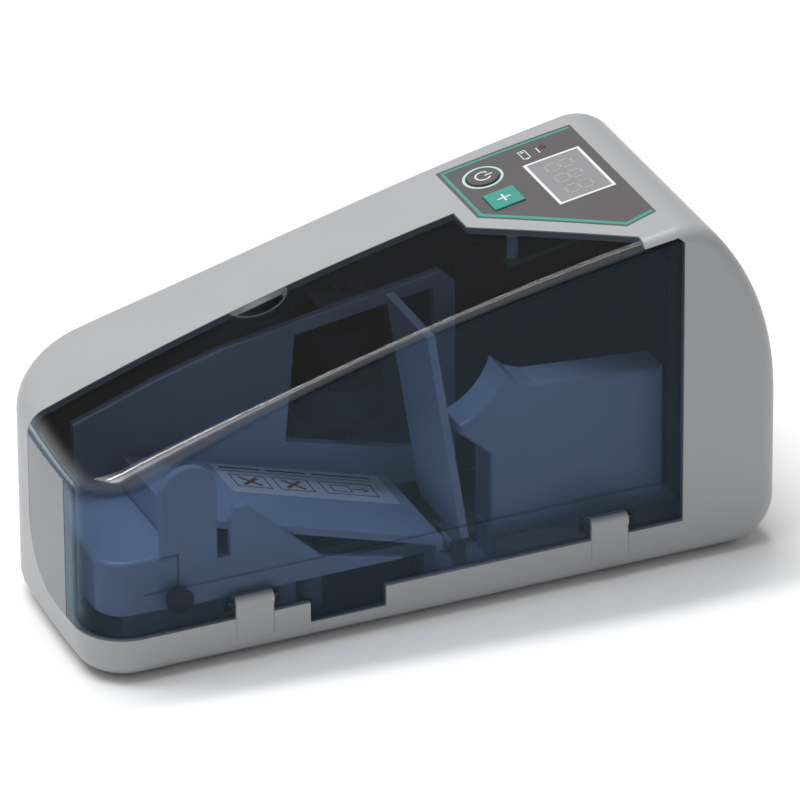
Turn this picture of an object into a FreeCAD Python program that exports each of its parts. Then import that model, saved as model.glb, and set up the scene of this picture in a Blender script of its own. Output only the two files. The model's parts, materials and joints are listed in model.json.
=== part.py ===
"""Portable banknote counting machine, built as separate named pieces.

Frame: +X runs from the low nose to the tall display end, -Y is the window side,
+Z is up, and the origin is the middle of the footprint on the table. Millimetres.
"""
import FreeCAD, Part
import math
import os

Vector = FreeCAD.Vector
doc = FreeCAD.newDocument("banknote_counter")

# ---------------------------------------------------------------- driving dimensions
DIMENSIONS = {
    "length": 226.0, "depth": 88.0, "base_level": 1.0,
    "housing_wall": 2.2, "cover_wall": 2.0, "seam": 0.4,
    "nose_top": 66.5, "mid_top": 95.9, "display_top": 114.7,
    "lean_radius": 94.0, "lean_start": 50.0,
    "heel_radius": 15.0, "crown_radius": 16.0,
    "nose_front_radius": 16.0, "nose_rear_radius": 30.0, "nose_sweep_radius": 560.0,
    "strip_top": 15.2, "cover_bottom": 16.0, "cover_right": 80.0,
    "cover_rear": 10.0, "cover_step": 28.0, "diagonal_end": 67.0,
    "nose_edge": -22.0, "nose_panel_top": 62.0, "nose_opening_radius": 20.0, "lip": 2.4,
    "hinge_y": -41.8, "hinge_z": 19.5, "pin_radius": 0.9, "pin_fit": 0.05,
    "knuckle_radius": 2.6, "clip_width": 12.4, "clip_low": 8.2,
    "left_clip": -61.0, "right_clip": 55.6, "boss_width": 2.4, "boss_radius": 2.15,
    "tab_left": -42.5, "tab_right": -18.8, "tab_bottom": 9.0,
    "overlay_thick": 0.4, "display_length": 26.0, "display_width": 16.8,
    "display_x": 64.85, "display_y": 6.6, "frame_width": 0.9,
    "start_x": 43.3, "start_y": 22.6, "start_radius": 4.9,
    "add_x": 43.4, "add_y": 7.1, "add_size": 9.8, "button_gap": 0.2, "button_proud": 0.5,
    "cell_radius": 7.0, "cell_length": 50.0, "cell_pitch": 14.8, "cell_x": -94.0,
    "door_left": -95.0, "door_right": -44.0, "door_half": 29.0, "door_thick": 1.6,
    "door_pin_radius": 0.5, "door_pin_reach": 1.2,
    "plate_left": -41.0, "plate_right": 101.0, "plate_half": 29.0, "plate_thick": 2.2,
    "deck_bottom": 16.0, "deck_thick": 2.5, "wall_front": 7.0, "wall_thick": 3.0,
    "shaft_x": -6.0, "shaft_y": 20.5, "shaft_radius": 2.0, "tyre_radius": 14.0,
    "motor_x": 52.0, "motor_y": 27.0, "motor_radius": 12.0, "motor_length": 31.0,
    "belt_level": 9.0, "belt_width": 3.0, "belt_thick": 1.2,
    "feed_pulley_radius": 12.0, "motor_pulley_radius": 4.0,
    "presser_x": 12.2, "presser_z": 14.0, "presser_tilt": 8.7, "presser_height": 79.0,
    "presser_thick": 2.6, "presser_front": -36.0, "presser_width": 31.0,
    "block_front": -30.0, "block_depth": 12.0, "block_wall": 2.0,
    "guide_front": -38.4, "guide_thick": 2.4,
    "foot_length": 16.0, "foot_width": 5.0, "foot_y": 33.0,
    "screw_head_radius": 2.2, "screw_radius": 1.2,
    "inlet_x": 88.0, "inlet_z": 24.0, "inlet_radius": 4.6,
}
sheet = doc.addObject("Spreadsheet::Sheet", "dims")
for row, (alias, number) in enumerate(DIMENSIONS.items(), start=1):
    sheet.set("A%d" % row, alias)
    sheet.set("B%d" % row, str(number))
    sheet.setAlias("B%d" % row, alias)
doc.recompute()


def size(alias):
    """The number in the sheet's cell with this alias."""
    return float(sheet.get(alias))


HALF_LENGTH = size("length") / 2.0
HALF_DEPTH = size("depth") / 2.0
nodes = []


# ---------------------------------------------------------------- small helpers
def bind(item, prop, amount):
    """Set a property from a number, or bind it to an expression on the sheet."""
    if isinstance(amount, str):
        item.setExpression(prop, amount)
    else:
        owner, _, leaf = prop.rpartition(".")
        if owner == "Placement.Base":
            place = item.Placement
            base = place.Base
            setattr(base, leaf, amount)
            item.Placement = FreeCAD.Placement(base, place.Rotation)
        else:
            setattr(item, prop, amount)


def block(name, corner, extent):
    """A Part::Box with its lowest corner and its three sizes."""
    item = doc.addObject("Part::Box", name)
    for prop, amount in zip(("Length", "Width", "Height"), extent):
        bind(item, prop, amount)
    for leaf, amount in zip("xyz", corner):
        bind(item, "Placement.Base." + leaf, amount)
    return item


TURN = {"x": FreeCAD.Rotation(Vector(0, 1, 0), 90),
        "y": FreeCAD.Rotation(Vector(1, 0, 0), -90),
        "z": FreeCAD.Rotation()}


def rod(name, start, radius, height, along="z"):
    """A Part::Cylinder that starts at a point and runs along +X, +Y or +Z."""
    item = doc.addObject("Part::Cylinder", name)
    item.Placement = FreeCAD.Placement(Vector(), TURN[along])
    bind(item, "Radius", radius)
    bind(item, "Height", height)
    for leaf, amount in zip("xyz", start):
        bind(item, "Placement.Base." + leaf, amount)
    return item


def solid(name, shape):
    """A Part::Feature that holds a shape made with Part's own functions."""
    item = doc.addObject("Part::Feature", name)
    item.Shape = shape
    return item


def join(name, parts):
    item = doc.addObject("Part::MultiFuse", name)
    item.Shapes = parts
    return item


def group(name, parts):
    """Separate identical solids kept in one node."""
    item = doc.addObject("Part::Compound", name)
    item.Links = parts
    return item


def cut(name, base, tools):
    """Base minus every tool."""
    item = doc.addObject("Part::Cut", name)
    item.Base = base
    item.Tool = tools[0] if len(tools) == 1 else join(name + "_tools", tools)
    return item


def common(name, first, second):
    item = doc.addObject("Part::Common", name)
    item.Base = first
    item.Tool = second
    return item


def middle_of(edge):
    return edge.valueAt((edge.FirstParameter + edge.LastParameter) / 2)


def soften(name, base, radius, wanted):
    """Round the edges of a shape whose middle point is wanted."""
    doc.recompute()
    item = doc.addObject("Part::Fillet", name)
    item.Base = base
    item.Edges = [(number, radius, radius) for number, edge in enumerate(base.Shape.Edges, start=1)
                  if wanted(middle_of(edge))]
    return item


def node(label, item):
    """Give a finished sub-part the label that names its file."""
    item.Label = label
    nodes.append(item)
    return item


def prism_z(points, low, high):
    """A vertical prism over a plan outline given as (x, y) points."""
    ring = [Vector(x, y, low) for x, y in points]
    return Part.Face(Part.makePolygon(ring + ring[:1])).extrude(Vector(0, 0, high - low))


def prism_y(points, front, back):
    """A prism along Y over a side outline given as (x, z) points."""
    ring = [Vector(x, front, z) for x, z in points]
    return Part.Face(Part.makePolygon(ring + ring[:1])).extrude(Vector(0, back - front, 0))


def on_circle(centre, radius, angle):
    return Vector(centre.x + radius * math.cos(angle), centre.y + radius * math.sin(angle), 0)


# ---------------------------------------------------------------- outer form
TOP_ARC = Part.Arc(Vector(-112, 0, size("nose_top")), Vector(-17, 0, size("mid_top")),
                   Vector(78, 0, size("display_top"))).toShape().Curve
FILLET_SPLIT_X = -58.0


def top_level(x, inset=0.0):
    """Height of the curved top at x, for a form inset by some amount."""
    radius = TOP_ARC.Radius - inset
    return TOP_ARC.Center.z + math.sqrt(radius ** 2 - (x - TOP_ARC.Center.x) ** 2)


def side_prism(inset):
    """The side view: flat base, upright lower end, leaning upper end and curved top."""
    half = HALF_DEPTH - inset
    low = size("base_level") + inset
    right = HALF_LENGTH - inset
    lean_start = size("lean_start")
    lean_radius = size("lean_radius") - inset
    lean_x = HALF_LENGTH - size("lean_radius")

    def lean_level(x):
        return lean_start + math.sqrt(lean_radius ** 2 - (x - lean_x) ** 2)

    near, far = 60.0, right
    for _ in range(50):
        middle = (near + far) / 2.0
        if top_level(middle, inset) < lean_level(middle):
            near = middle
        else:
            far = middle
    corner = Vector(near, 0, top_level(near, inset))
    half_turn = math.atan2(corner.z - lean_start, corner.x - lean_x) / 2.0
    lean_middle = Vector(lean_x + lean_radius * math.cos(half_turn), 0,
                         lean_start + lean_radius * math.sin(half_turn))
    left = -HALF_LENGTH - 10.0

    def top_point(x):
        return Vector(x, 0, top_level(x, inset))

    outline = [
        Part.makeLine(Vector(left, 0, low), Vector(right, 0, low)),
        Part.makeLine(Vector(right, 0, low), Vector(right, 0, lean_start)),
        Part.Arc(Vector(right, 0, lean_start), lean_middle, corner).toShape(),
        Part.Arc(corner, top_point(0.0), top_point(FILLET_SPLIT_X)).toShape(),
        Part.Arc(top_point(FILLET_SPLIT_X), top_point(-90.0), top_point(left)).toShape(),
        Part.makeLine(top_point(left), Vector(left, 0, low)),
    ]
    prism = Part.Face(Part.Wire(outline)).extrude(Vector(0, 2 * half, 0))
    prism.translate(Vector(0, -half, 0))
    return prism


def plan_prism(inset):
    """The plan view: a nose that sweeps back towards the rear, with round corners."""
    half = HALF_DEPTH - inset
    sweep = size("nose_sweep_radius")
    front_radius = size("nose_front_radius")
    rear_radius = size("nose_rear_radius")
    front_centre = Vector(-HALF_LENGTH + front_radius, -HALF_DEPTH + front_radius, 0)
    sweep_centre = Vector(-HALF_LENGTH + sweep, front_centre.y, 0)
    rise = HALF_DEPTH - rear_radius - sweep_centre.y
    reach = math.sqrt((sweep - rear_radius) ** 2 - rise ** 2)
    rear_centre = Vector(sweep_centre.x - reach, HALF_DEPTH - rear_radius, 0)
    turn = math.atan2(rise, -reach)
    small_front = front_radius - inset
    small_rear = rear_radius - inset
    big = sweep - inset
    far = HALF_LENGTH + 25.0
    nose_start = Vector(front_centre.x - small_front, front_centre.y, 0)
    nose_end = on_circle(sweep_centre, big, turn)
    outline = [
        Part.makeLine(Vector(far, -half, 0), Vector(front_centre.x, -half, 0)),
        Part.Arc(Vector(front_centre.x, -half, 0),
                 on_circle(front_centre, small_front, math.radians(225)), nose_start).toShape(),
        Part.Arc(nose_start, on_circle(sweep_centre, big, (math.pi + turn) / 2), nose_end).toShape(),
        Part.Arc(nose_end, on_circle(rear_centre, small_rear, (turn + math.pi / 2) / 2),
                 Vector(rear_centre.x, half, 0)).toShape(),
        Part.makeLine(Vector(rear_centre.x, half, 0), Vector(far, half, 0)),
        Part.makeLine(Vector(far, half, 0), Vector(far, -half, 0)),
    ]
    return Part.Face(Part.Wire(outline)).extrude(Vector(0, 0, 140))


def fold_angle(shape, edge):
    """Angle between the two faces that meet at an edge, in degrees."""
    point = middle_of(edge)
    normals = []
    for face in shape.ancestorsOfType(edge, Part.Face):
        u, v = face.Surface.parameter(point)
        normals.append(face.normalAt(u, v))
    return math.degrees(normals[0].getAngle(normals[1])) if len(normals) == 2 else 0.0


def edge_radius(point, inset):
    """Radius of the rounded edge near a point: tight on top, fuller at the nose."""
    if point.z < 14.0 or point.x > 100.0:
        radius = 8.0
    elif point.x > FILLET_SPLIT_X + 1.0:
        radius = 4.4 if inset == 0.0 else 5.2
    elif point.x > FILLET_SPLIT_X - 1.0:
        radius = 5.2 if inset == 0.0 else 5.8
    else:
        radius = 8.0
    return radius - inset


def envelope(name, inset):
    """The whole outer form inset by some amount, with its rounded edges."""
    form = side_prism(inset).common(plan_prism(inset)).Solids[0]
    for upper, radius in ((True, size("crown_radius")), (False, size("heel_radius"))):
        ends = []
        for edge in form.Edges:
            point = middle_of(edge)
            across = edge.Length > 60 and abs(point.y) < 0.01
            if across and (point.z > 100 if upper else point.z < 10) and point.x > 60:
                ends.append(edge)
        form = form.makeFillet(radius - inset, ends)
    base = solid(name + "_form", form)
    rounded = doc.addObject("Part::Fillet", name)
    rounded.Base = base
    picked = []
    for number, edge in enumerate(form.Edges, start=1):
        if fold_angle(form, edge) > 5.0:
            first = edge_radius(edge.valueAt(edge.FirstParameter), inset)
            last = edge_radius(edge.valueAt(edge.LastParameter), inset)
            picked.append((number, first, last))
    rounded.Edges = picked
    return rounded


outer_form = envelope("outer_form", 0.0)
housing_core = envelope("housing_core", size("housing_wall"))
cover_core = envelope("cover_core", size("cover_wall"))


def top_slab(above, below):
    """A slab that follows the curved top, from above it to below it, right of the nose."""
    ring = []
    for inset in (-above, below):
        row = [Vector(x, 0, top_level(x, inset)) for x in (15.0, 50.0, 84.0)]
        ring.append(row)
    upper, lower = ring
    outline = [Part.Arc(*upper).toShape(), Part.makeLine(upper[2], lower[2]),
               Part.Arc(lower[2], lower[1], lower[0]).toShape(), Part.makeLine(lower[0], upper[0])]
    slab = Part.Face(Part.Wire(outline)).extrude(Vector(0, size("depth"), 0))
    slab.translate(Vector(0, -HALF_DEPTH, 0))
    return slab


# ---------------------------------------------------------------- window opening
def window_region(gap, bottom):
    """Space taken by the hinged cover and the nose panel, inset by a gap at its edges."""
    rear = size("cover_rear") - gap
    step = size("cover_step") - gap
    end = size("diagonal_end") - gap
    right = size("cover_right") - gap
    plan = [(-130, -60), (end, -60), (end, rear - 10 - (end - step)), (step, rear - 10),
            (step, rear), (-130, rear)]
    region = prism_z(plan, bottom, 140)
    lip = size("lip") + gap
    side = [(0, bottom), (right, bottom), (right, top_level(right) - lip - 2.0),
            (right - 2.0, top_level(right - 2.0) - lip), (end - 1.0, top_level(end) - lip), (0, 90)]
    region = region.fuse(prism_y(side, -60, -36))
    radius = size("nose_opening_radius")
    corner = Part.makeBox(60, radius, radius, Vector(-150, rear - radius, bottom))
    bore = Part.makeCylinder(radius, 60, Vector(-150, rear - radius, bottom + radius), Vector(1, 0, 0))
    return region.cut(corner.cut(bore))


# ---------------------------------------------------------------- housing
overlay_outline = [(32.6, 2.6), (32.6, 34.2), (77.4, 34.2), (77.4, -29.0), (66.6, -31.4)]
top_cut = solid("overlay_space", prism_z(overlay_outline, 90, 140))
overlay_skin = solid("overlay_skin", top_slab(0.0, size("overlay_thick")))
overlay_recess = common("overlay_recess", overlay_skin, top_cut)


def display_block(name, grow, low=90.0, high=130.0):
    """A vertical block over the display, grown on every side."""
    corner = ("dims.display_x - dims.display_width / 2 - %s" % grow,
              "dims.display_y - dims.display_length / 2 - %s" % grow, low)
    extent = ("dims.display_width + 2 * %s" % grow, "dims.display_length + 2 * %s" % grow,
              high - low)
    return block(name, corner, extent)


def start_rod(name, grow, low=90.0, high=130.0):
    return rod(name, ("dims.start_x", "dims.start_y", low), "dims.start_radius + %s" % grow,
               high - low)


def add_block(name, grow, low=90.0, high=130.0):
    corner = ("dims.add_x - dims.add_size / 2 - %s" % grow,
              "dims.add_y - dims.add_size / 2 - %s" % grow, low)
    extent = ("dims.add_size + 2 * %s" % grow, "dims.add_size + 2 * %s" % grow, high - low)
    return block(name, corner, extent)


LED_X, LED_Y, LED_RADIUS = 65.0, 27.2, 1.1

housing_tools = [
    solid("housing_window", window_region(0.0, size("strip_top"))),
    block("door_hole", ("dims.door_left - 0.25", "-dims.door_half - 0.25", 0.0),
          ("dims.door_right - dims.door_left + 0.5", "2 * dims.door_half + 0.5", 6.0)),
    block("plate_hole", ("dims.plate_left - 0.05", "-dims.plate_half - 0.05", 0.0),
          ("dims.plate_right - dims.plate_left + 0.1", "2 * dims.plate_half + 0.1", 6.0)),
    block("tab_notch", ("dims.tab_left - 0.5", -50.0, "dims.tab_bottom - 0.5"),
          ("dims.tab_right - dims.tab_left + 1", 12.0, 12.0)),
    overlay_recess,
    display_block("display_hole", "dims.frame_width"),
    start_rod("start_hole", "dims.button_gap"),
    add_block("add_hole", "dims.button_gap"),
    rod("led_hole", (LED_X, LED_Y, 90.0), LED_RADIUS, 40.0),
    rod("inlet_hole", ("dims.inlet_x", 36.0, "dims.inlet_z"), "dims.inlet_radius", 12.0, "y"),
    rod("door_pin_hole", ("dims.door_right - dims.door_thick / 2",
                          "-dims.door_half - dims.door_pin_reach - 0.2",
                          "dims.base_level + dims.door_thick / 2"),
        "dims.door_pin_radius + dims.pin_fit",
        "2 * dims.door_half + 2 * dims.door_pin_reach + 0.4", "y"),
]
for index, middle in enumerate(("dims.left_clip", "dims.right_clip")):
    housing_tools.append(block("clip_notch_%d" % index,
                               (middle + " - dims.clip_width / 2", -50.0, "dims.clip_low"),
                               ("dims.clip_width", 12.0, 12.0)))
housing_shell = cut("housing_shell", outer_form, [housing_core])
node("housing", cut("housing", housing_shell, housing_tools))

# ---------------------------------------------------------------- clear cover
cover_gap = size("seam")
nose_block_space = Part.makeBox(30, 60, size("nose_panel_top"),
                                Vector(-130, size("nose_edge") - 0.2, 0))
cover_region = solid("cover_region", window_region(cover_gap, size("cover_bottom")).cut(nose_block_space))
cover_shell = cut("cover_shell", outer_form, [cover_core])
cover_skin = common("cover_skin", cover_shell, cover_region)
cover_tab = block("cover_tab", ("dims.tab_left", "-dims.depth / 2", "dims.tab_bottom"),
                  ("dims.tab_right - dims.tab_left", "dims.cover_wall", 8.0))
NOTCH_X, NOTCH_RADIUS, NOTCH_DEPTH = -38.0, 10.5, 5.5
bowl_centre = Vector(NOTCH_X, size("cover_rear") + 1.0, top_level(NOTCH_X) + NOTCH_RADIUS - NOTCH_DEPTH)
bowl_side = Part.makeBox(60, 30, 60, Vector(NOTCH_X - 30, size("cover_rear") - cover_gap - 30, 60))
bowl_outer = Part.makeSphere(NOTCH_RADIUS + size("cover_wall"), bowl_centre).common(bowl_side)
bowl_inner = Part.makeSphere(NOTCH_RADIUS, bowl_centre)
cover_bowl = common("cover_bowl", solid("bowl_outer", bowl_outer), outer_form)
cover_whole = [cover_skin, cover_tab, cover_bowl]
cover_tools = [solid("bowl_inner", bowl_inner)]
for index, middle in enumerate(("dims.left_clip", "dims.right_clip")):
    for side, start in enumerate((middle + " - dims.clip_width / 2 - 0.4 - dims.boss_width",
                                  middle + " + dims.clip_width / 2 + 0.4")):
        cover_whole.append(rod("pin_boss_%d_%d" % (index, side),
                               (start, "dims.hinge_y", "dims.hinge_z"),
                               "dims.boss_radius", "dims.boss_width", "x"))
    cover_tools.append(block("clip_window_%d" % index,
                             (middle + " - dims.clip_width / 2 - 0.4", -50.0, 6.0),
                             ("dims.clip_width + 0.8", 12.0, 17.0)))
    cover_tools.append(rod("pin_bore_%d" % index,
                           (middle + " - dims.clip_width / 2 - 2", "dims.hinge_y", "dims.hinge_z"),
                           "dims.pin_radius + dims.pin_fit", "dims.clip_width + 4", "x"))
GROOVE_X, GROOVE_Z, GROOVE_LEFT, GROOVE = 74.6, 28.9, -96.0, 0.5
cover_tools.append(block("groove_upright", (GROOVE_X, -42.5, GROOVE_Z), (GROOVE, 1.0, 80.0)))
cover_tools.append(block("groove_level", (GROOVE_LEFT, -42.5, GROOVE_Z),
                         (GROOVE_X - GROOVE_LEFT, 1.0, GROOVE)))
node("clear_cover", cut("clear_cover", join("cover_blank", cover_whole), cover_tools))

KEEPER_X, KEEPER_Z, KEEPER_RADIUS = -84.0, 24.0, 4.3
node("latch_keeper", rod("latch_keeper", (KEEPER_X, -42.0, KEEPER_Z), KEEPER_RADIUS, 0.8, "y"))
node("latch_magnet", rod("latch_magnet", (KEEPER_X, -40.8, KEEPER_Z), KEEPER_RADIUS - 0.8, 2.4, "y"))

# ---------------------------------------------------------------- nose panel
panel_region = window_region(cover_gap, size("cover_bottom") - 0.8)
panel_space = Part.makeBox(30, 60, size("nose_panel_top") - 0.4,
                           Vector(-130, size("nose_edge") + 0.4, 0))
node("nose_panel", common("nose_panel", cover_shell,
                          solid("panel_region", panel_region.common(panel_space))))

# ---------------------------------------------------------------- cover hinge
def clip_edge(middle):
    """The two upright front edges of a clip's stem."""
    return middle.y < size("hinge_y") - size("knuckle_radius") + 0.1 and 9.0 < middle.z < 19.0


for name, middle in (("left", "dims.left_clip"), ("right", "dims.right_clip")):
    start = middle + " - dims.clip_width / 2"
    knuckle = rod("knuckle_" + name, (start, "dims.hinge_y", "dims.hinge_z"),
                  "dims.knuckle_radius", "dims.clip_width", "x")
    stem = block("clip_stem_" + name,
                 (start, "dims.hinge_y - dims.knuckle_radius", "dims.clip_low"),
                 ("dims.clip_width", "2 * dims.knuckle_radius", "dims.hinge_z - dims.clip_low"))
    bore = rod("clip_bore_" + name, (middle + " - 10", "dims.hinge_y", "dims.hinge_z"),
               "dims.pin_radius", 20.0, "x")
    stem_soft = soften("clip_soft_" + name, stem, 0.7, clip_edge)
    node("hinge_clip_" + name, cut("hinge_clip_" + name,
                                   join("clip_blank_" + name, [knuckle, stem_soft]), [bore]))
    node("hinge_pin_" + name, rod("hinge_pin_" + name,
                                  (start + " - 1.8", "dims.hinge_y", "dims.hinge_z"),
                                  "dims.pin_radius", "dims.clip_width + 3.6", "x"))

# ---------------------------------------------------------------- control panel
display_hole = display_block("display_space", "dims.frame_width")
start_space = start_rod("start_space", "dims.button_gap")
add_space = add_block("add_space", "dims.button_gap")
led_space = rod("led_space", (LED_X, LED_Y, 90.0), LED_RADIUS, 40.0)
overlay_blank = common("overlay_blank", overlay_skin, top_cut)
node("control_overlay", cut("control_overlay", overlay_blank,
                            [display_hole, start_space, add_space, led_space]))
frame_outer = display_block("frame_outer", "dims.frame_width")
frame_inner = display_block("frame_inner", "0")
frame_ring = cut("frame_ring", frame_outer, [frame_inner])
node("display_frame", common("display_frame", solid("frame_skin", top_slab(0.15, 2.2)), frame_ring))
node("display_lens", common("display_lens", solid("lens_skin", top_slab(0.0, 1.4)),
                            display_block("lens_space", "0")))
node("low_battery_led", common("low_battery_led", solid("led_skin", top_slab(0.1, 4.5)),
                               rod("led_rod", (LED_X, LED_Y, 90.0), LED_RADIUS, 40.0)))
button_skin = solid("button_skin", top_slab(size("button_proud"), 3.0))
button_rim = solid("button_rim", top_slab(-size("housing_wall") - 0.7, 3.9))
start_cap = common("start_cap", button_skin, start_rod("start_core", "0"))
start_flange = common("start_flange", button_rim, start_rod("start_flange_rod", "0.9"))
start_post = common("start_post", solid("start_post_skin", top_slab(-2.9, 5.0)),
                    rod("start_post_rod", ("dims.start_x", "dims.start_y", 90.0), 1.6, 40.0))
node("start_button", join("start_button", [start_cap, start_flange, start_post]))
add_cap = common("add_cap", button_skin, add_block("add_core", "0"))
add_flange = common("add_flange", button_rim, add_block("add_flange_block", "0.9"))
add_post = common("add_post", solid("add_post_skin", top_slab(-2.9, 5.0)),
                  rod("add_post_rod", ("dims.add_x", "dims.add_y", 90.0), 1.6, 40.0))
node("add_button", join("add_button", [add_cap, add_flange, add_post]))

BOARD_DROP, BOARD_THICK = 10.0, 1.6
node("display_board", common("display_board",
                             solid("board_skin", top_slab(-BOARD_DROP, BOARD_DROP + BOARD_THICK)),
                             block("board_space", (36.0, -12.0, 80.0), (42.0, 46.0, 50.0))))
node("display_module", common("display_module",
                              solid("module_skin", top_slab(-1.6, BOARD_DROP)),
                              display_block("module_space", "-0.3", 80.0, 140.0)))
switches = []
for name, x, y in (("start", "start_x", "start_y"), ("add", "add_x", "add_y")):
    body = common("switch_body_" + name, solid("switch_skin_" + name, top_slab(-6.6, BOARD_DROP)),
                  block("switch_space_" + name, ("dims.%s - 3" % x, "dims.%s - 3" % y, 80.0),
                        (6.0, 6.0, 50.0)))
    stem = common("switch_stem_" + name, solid("stem_skin_" + name, top_slab(-5.7, 6.6)),
                  rod("stem_rod_" + name, ("dims." + x, "dims." + y, 80.0), 1.5, 50.0))
    switches.append(join("switch_" + name, [body, stem]))
node("button_switches", group("button_switches", switches))
posts = []
for index, (x, y) in enumerate(((39.0, -9.0), (75.0, -9.0), (39.0, 31.0), (75.0, 31.0))):
    posts.append(common("board_post_%d" % index,
                        solid("post_skin_%d" % index, top_slab(-size("housing_wall"), BOARD_DROP)),
                        rod("post_rod_%d" % index, (x, y, 80.0), 1.8, 50.0)))
node("board_posts", group("board_posts", posts))

# ---------------------------------------------------------------- underside
door_axis = ("dims.door_right - dims.door_thick / 2", "dims.base_level + dims.door_thick / 2")
door_panel = block("door_panel", ("dims.door_left", "-dims.door_half", "dims.base_level"),
                   ("dims.door_right - dims.door_left - dims.door_thick / 2",
                    "2 * dims.door_half", "dims.door_thick"))
door_barrel = rod("door_barrel", (door_axis[0], "-dims.door_half", door_axis[1]),
                  "dims.door_thick / 2", "2 * dims.door_half", "y")
door_pin = rod("door_pin", (door_axis[0], "-dims.door_half - dims.door_pin_reach", door_axis[1]),
               "dims.door_pin_radius", "2 * dims.door_half + 2 * dims.door_pin_reach", "y")
door_ribs = []
for index in range(7):
    door_ribs.append(block("door_rib_%d" % index,
                           ("dims.door_left + 4 + 3 * %d" % index, -10.0, 0.0), (1.2, 20.0, 1.4)))
node("battery_door", cut("battery_door", join("door_blank", [door_panel, door_barrel, door_pin]),
                         door_ribs))
plate = block("plate_blank", ("dims.plate_left", "-dims.plate_half", "dims.base_level"),
              ("dims.plate_right - dims.plate_left", "2 * dims.plate_half", "dims.plate_thick"))
SCREW_PLACES = ((-35.0, -24.0), (-35.0, 24.0), (95.0, -24.0), (95.0, 24.0))
plate_tools = []
screws = []
for index, (x, y) in enumerate(SCREW_PLACES):
    plate_tools.append(rod("screw_sink_%d" % index, (x, y, 0.0), "dims.screw_head_radius + 0.2", 2.2))
    plate_tools.append(rod("screw_way_%d" % index, (x, y, 0.0), "dims.screw_radius", 6.0))
    head = rod("screw_head_%d" % index, (x, y, 1.0), "dims.screw_head_radius", 1.2)
    shank = rod("screw_shank_%d" % index, (x, y, 2.2), "dims.screw_radius", 9.8)
    slots = [block("cross_a_%d" % index, (x - 1.2, y - 0.25, 0.5), (2.4, 0.5, 1.1)),
             block("cross_b_%d" % index, (x - 0.25, y - 1.2, 0.5), (0.5, 2.4, 1.1))]
    screws.append(cut("screw_%d" % index, join("screw_blank_%d" % index, [head, shank]), slots))
for index in range(9):
    plate_tools.append(block("vent_%d" % index, (20.0 + 5.0 * index, -11.0, 0.0), (2.0, 22.0, 6.0)))
node("base_plate", cut("base_plate", plate, plate_tools))
node("base_screws", group("base_screws", screws))
feet = []
for index, (x, side) in enumerate(((-91.0, -1), (-91.0, 1), (80.0, -1), (80.0, 1))):
    feet.append(block("foot_%d" % index, (x, "%d * dims.foot_y - dims.foot_width / 2" % side, 0.0),
                      ("dims.foot_length", "dims.foot_width", "dims.base_level")))
node("rubber_feet", group("rubber_feet", feet))

# ---------------------------------------------------------------- batteries
LEAF_WIDTH = 6.0
LEAF_OUTLINE = [(-2.7, -5.0), (-2.4, -5.0), (-2.4, -3.4), (0.0, 0.0), (-2.4, 3.4), (-2.4, 5.0),
                (-2.7, 5.0), (-2.7, 3.3), (-0.37, 0.0), (-2.7, -3.3)]
cells = []
springs = []
caps = []
for index in range(4):
    y = (index - 1.5) * size("cell_pitch")
    body = rod("cell_body_%d" % index, ("dims.cell_x", y, 11.0), "dims.cell_radius",
               "dims.cell_length - 1.4", "x")
    tip = rod("cell_tip_%d" % index, ("dims.cell_x + dims.cell_length - 1.4", y, 11.0), 2.6, 1.4, "x")
    cells.append(join("cell_%d" % index, [body, tip]))
    leaf = prism_y(LEAF_OUTLINE, y - LEAF_WIDTH / 2, y + LEAF_WIDTH / 2)
    leaf.translate(Vector(size("cell_x"), 0, 11.0))
    springs.append(solid("spring_%d" % index, leaf))
    caps.append(block("contact_%d" % index, (size("cell_x") + size("cell_length"), y - 5.0, 6.0),
                      (0.5, 10.0, 10.0)))
node("battery_cells", group("battery_cells", cells))
node("battery_springs", group("battery_springs", springs))
node("battery_contacts", group("battery_contacts", caps))
tray_left, tray_right = size("cell_x") - 4.4, size("cell_x") + size("cell_length") + 1.7
tray_blank = block("tray_blank", (tray_left, -30.9, 3.2), (tray_right - tray_left, 61.8, 17.0))
tray_room = block("tray_room", (tray_left + 1.2, -29.7, 2.0), (tray_right - tray_left - 2.4, 59.4, 17.0))
tray_corner = solid("tray_corner", plan_prism(size("housing_wall") + 6.0))
node("battery_tray", common("battery_tray", cut("tray_cup", tray_blank, [tray_room]), tray_corner))

# ---------------------------------------------------------------- inner frame
deck_left = -38.0
deck = block("deck", (deck_left, 11.0, "dims.deck_bottom"), (144.0, 30.6, "dims.deck_thick"))
frame_parts = [deck]
for index, (x, y) in enumerate(SCREW_PLACES):
    frame_parts.append(rod("frame_post_%d" % index, (x, y, 3.2), 4.0, 12.9))
frame_parts.append(block("frame_front_beam", (-39.0, -28.0, 14.0), (138.0, 8.0, 4.5)))
frame_parts.append(block("frame_cross_left", (-39.0, -24.0, 14.0), (8.0, 50.0, 4.5)))
frame_parts.append(block("frame_cross_right", (91.0, -24.0, 14.0), (8.0, 50.0, 4.5)))
frame_tools = []
for index, (x, y) in enumerate(SCREW_PLACES):
    frame_tools.append(rod("frame_screw_hole_%d" % index, (x, y, 0.0), "dims.screw_radius", 12.0))
frame_tools.append(rod("shaft_seat", ("dims.shaft_x", "dims.shaft_y", 10.0), 4.0, 12.0))
frame_tools.append(rod("motor_hole", ("dims.motor_x", "dims.motor_y", 10.0), 4.0, 12.0))
frame_tools.append(block("presser_notch", (4.0, -31.0, 8.0), (18.0, 14.0, 14.0)))
frame_parts.append(block("frame_low_bridge", (1.0, -30.0, 4.0), (24.0, 12.0, 4.0)))
frame_parts.append(block("frame_bridge_left", (1.0, -28.0, 4.0), (3.0, 8.0, 14.5)))
frame_parts.append(block("frame_bridge_right", (22.0, -28.0, 4.0), (3.0, 8.0, 14.5)))
node("inner_frame", cut("inner_frame", join("frame_blank", frame_parts), frame_tools))

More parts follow.
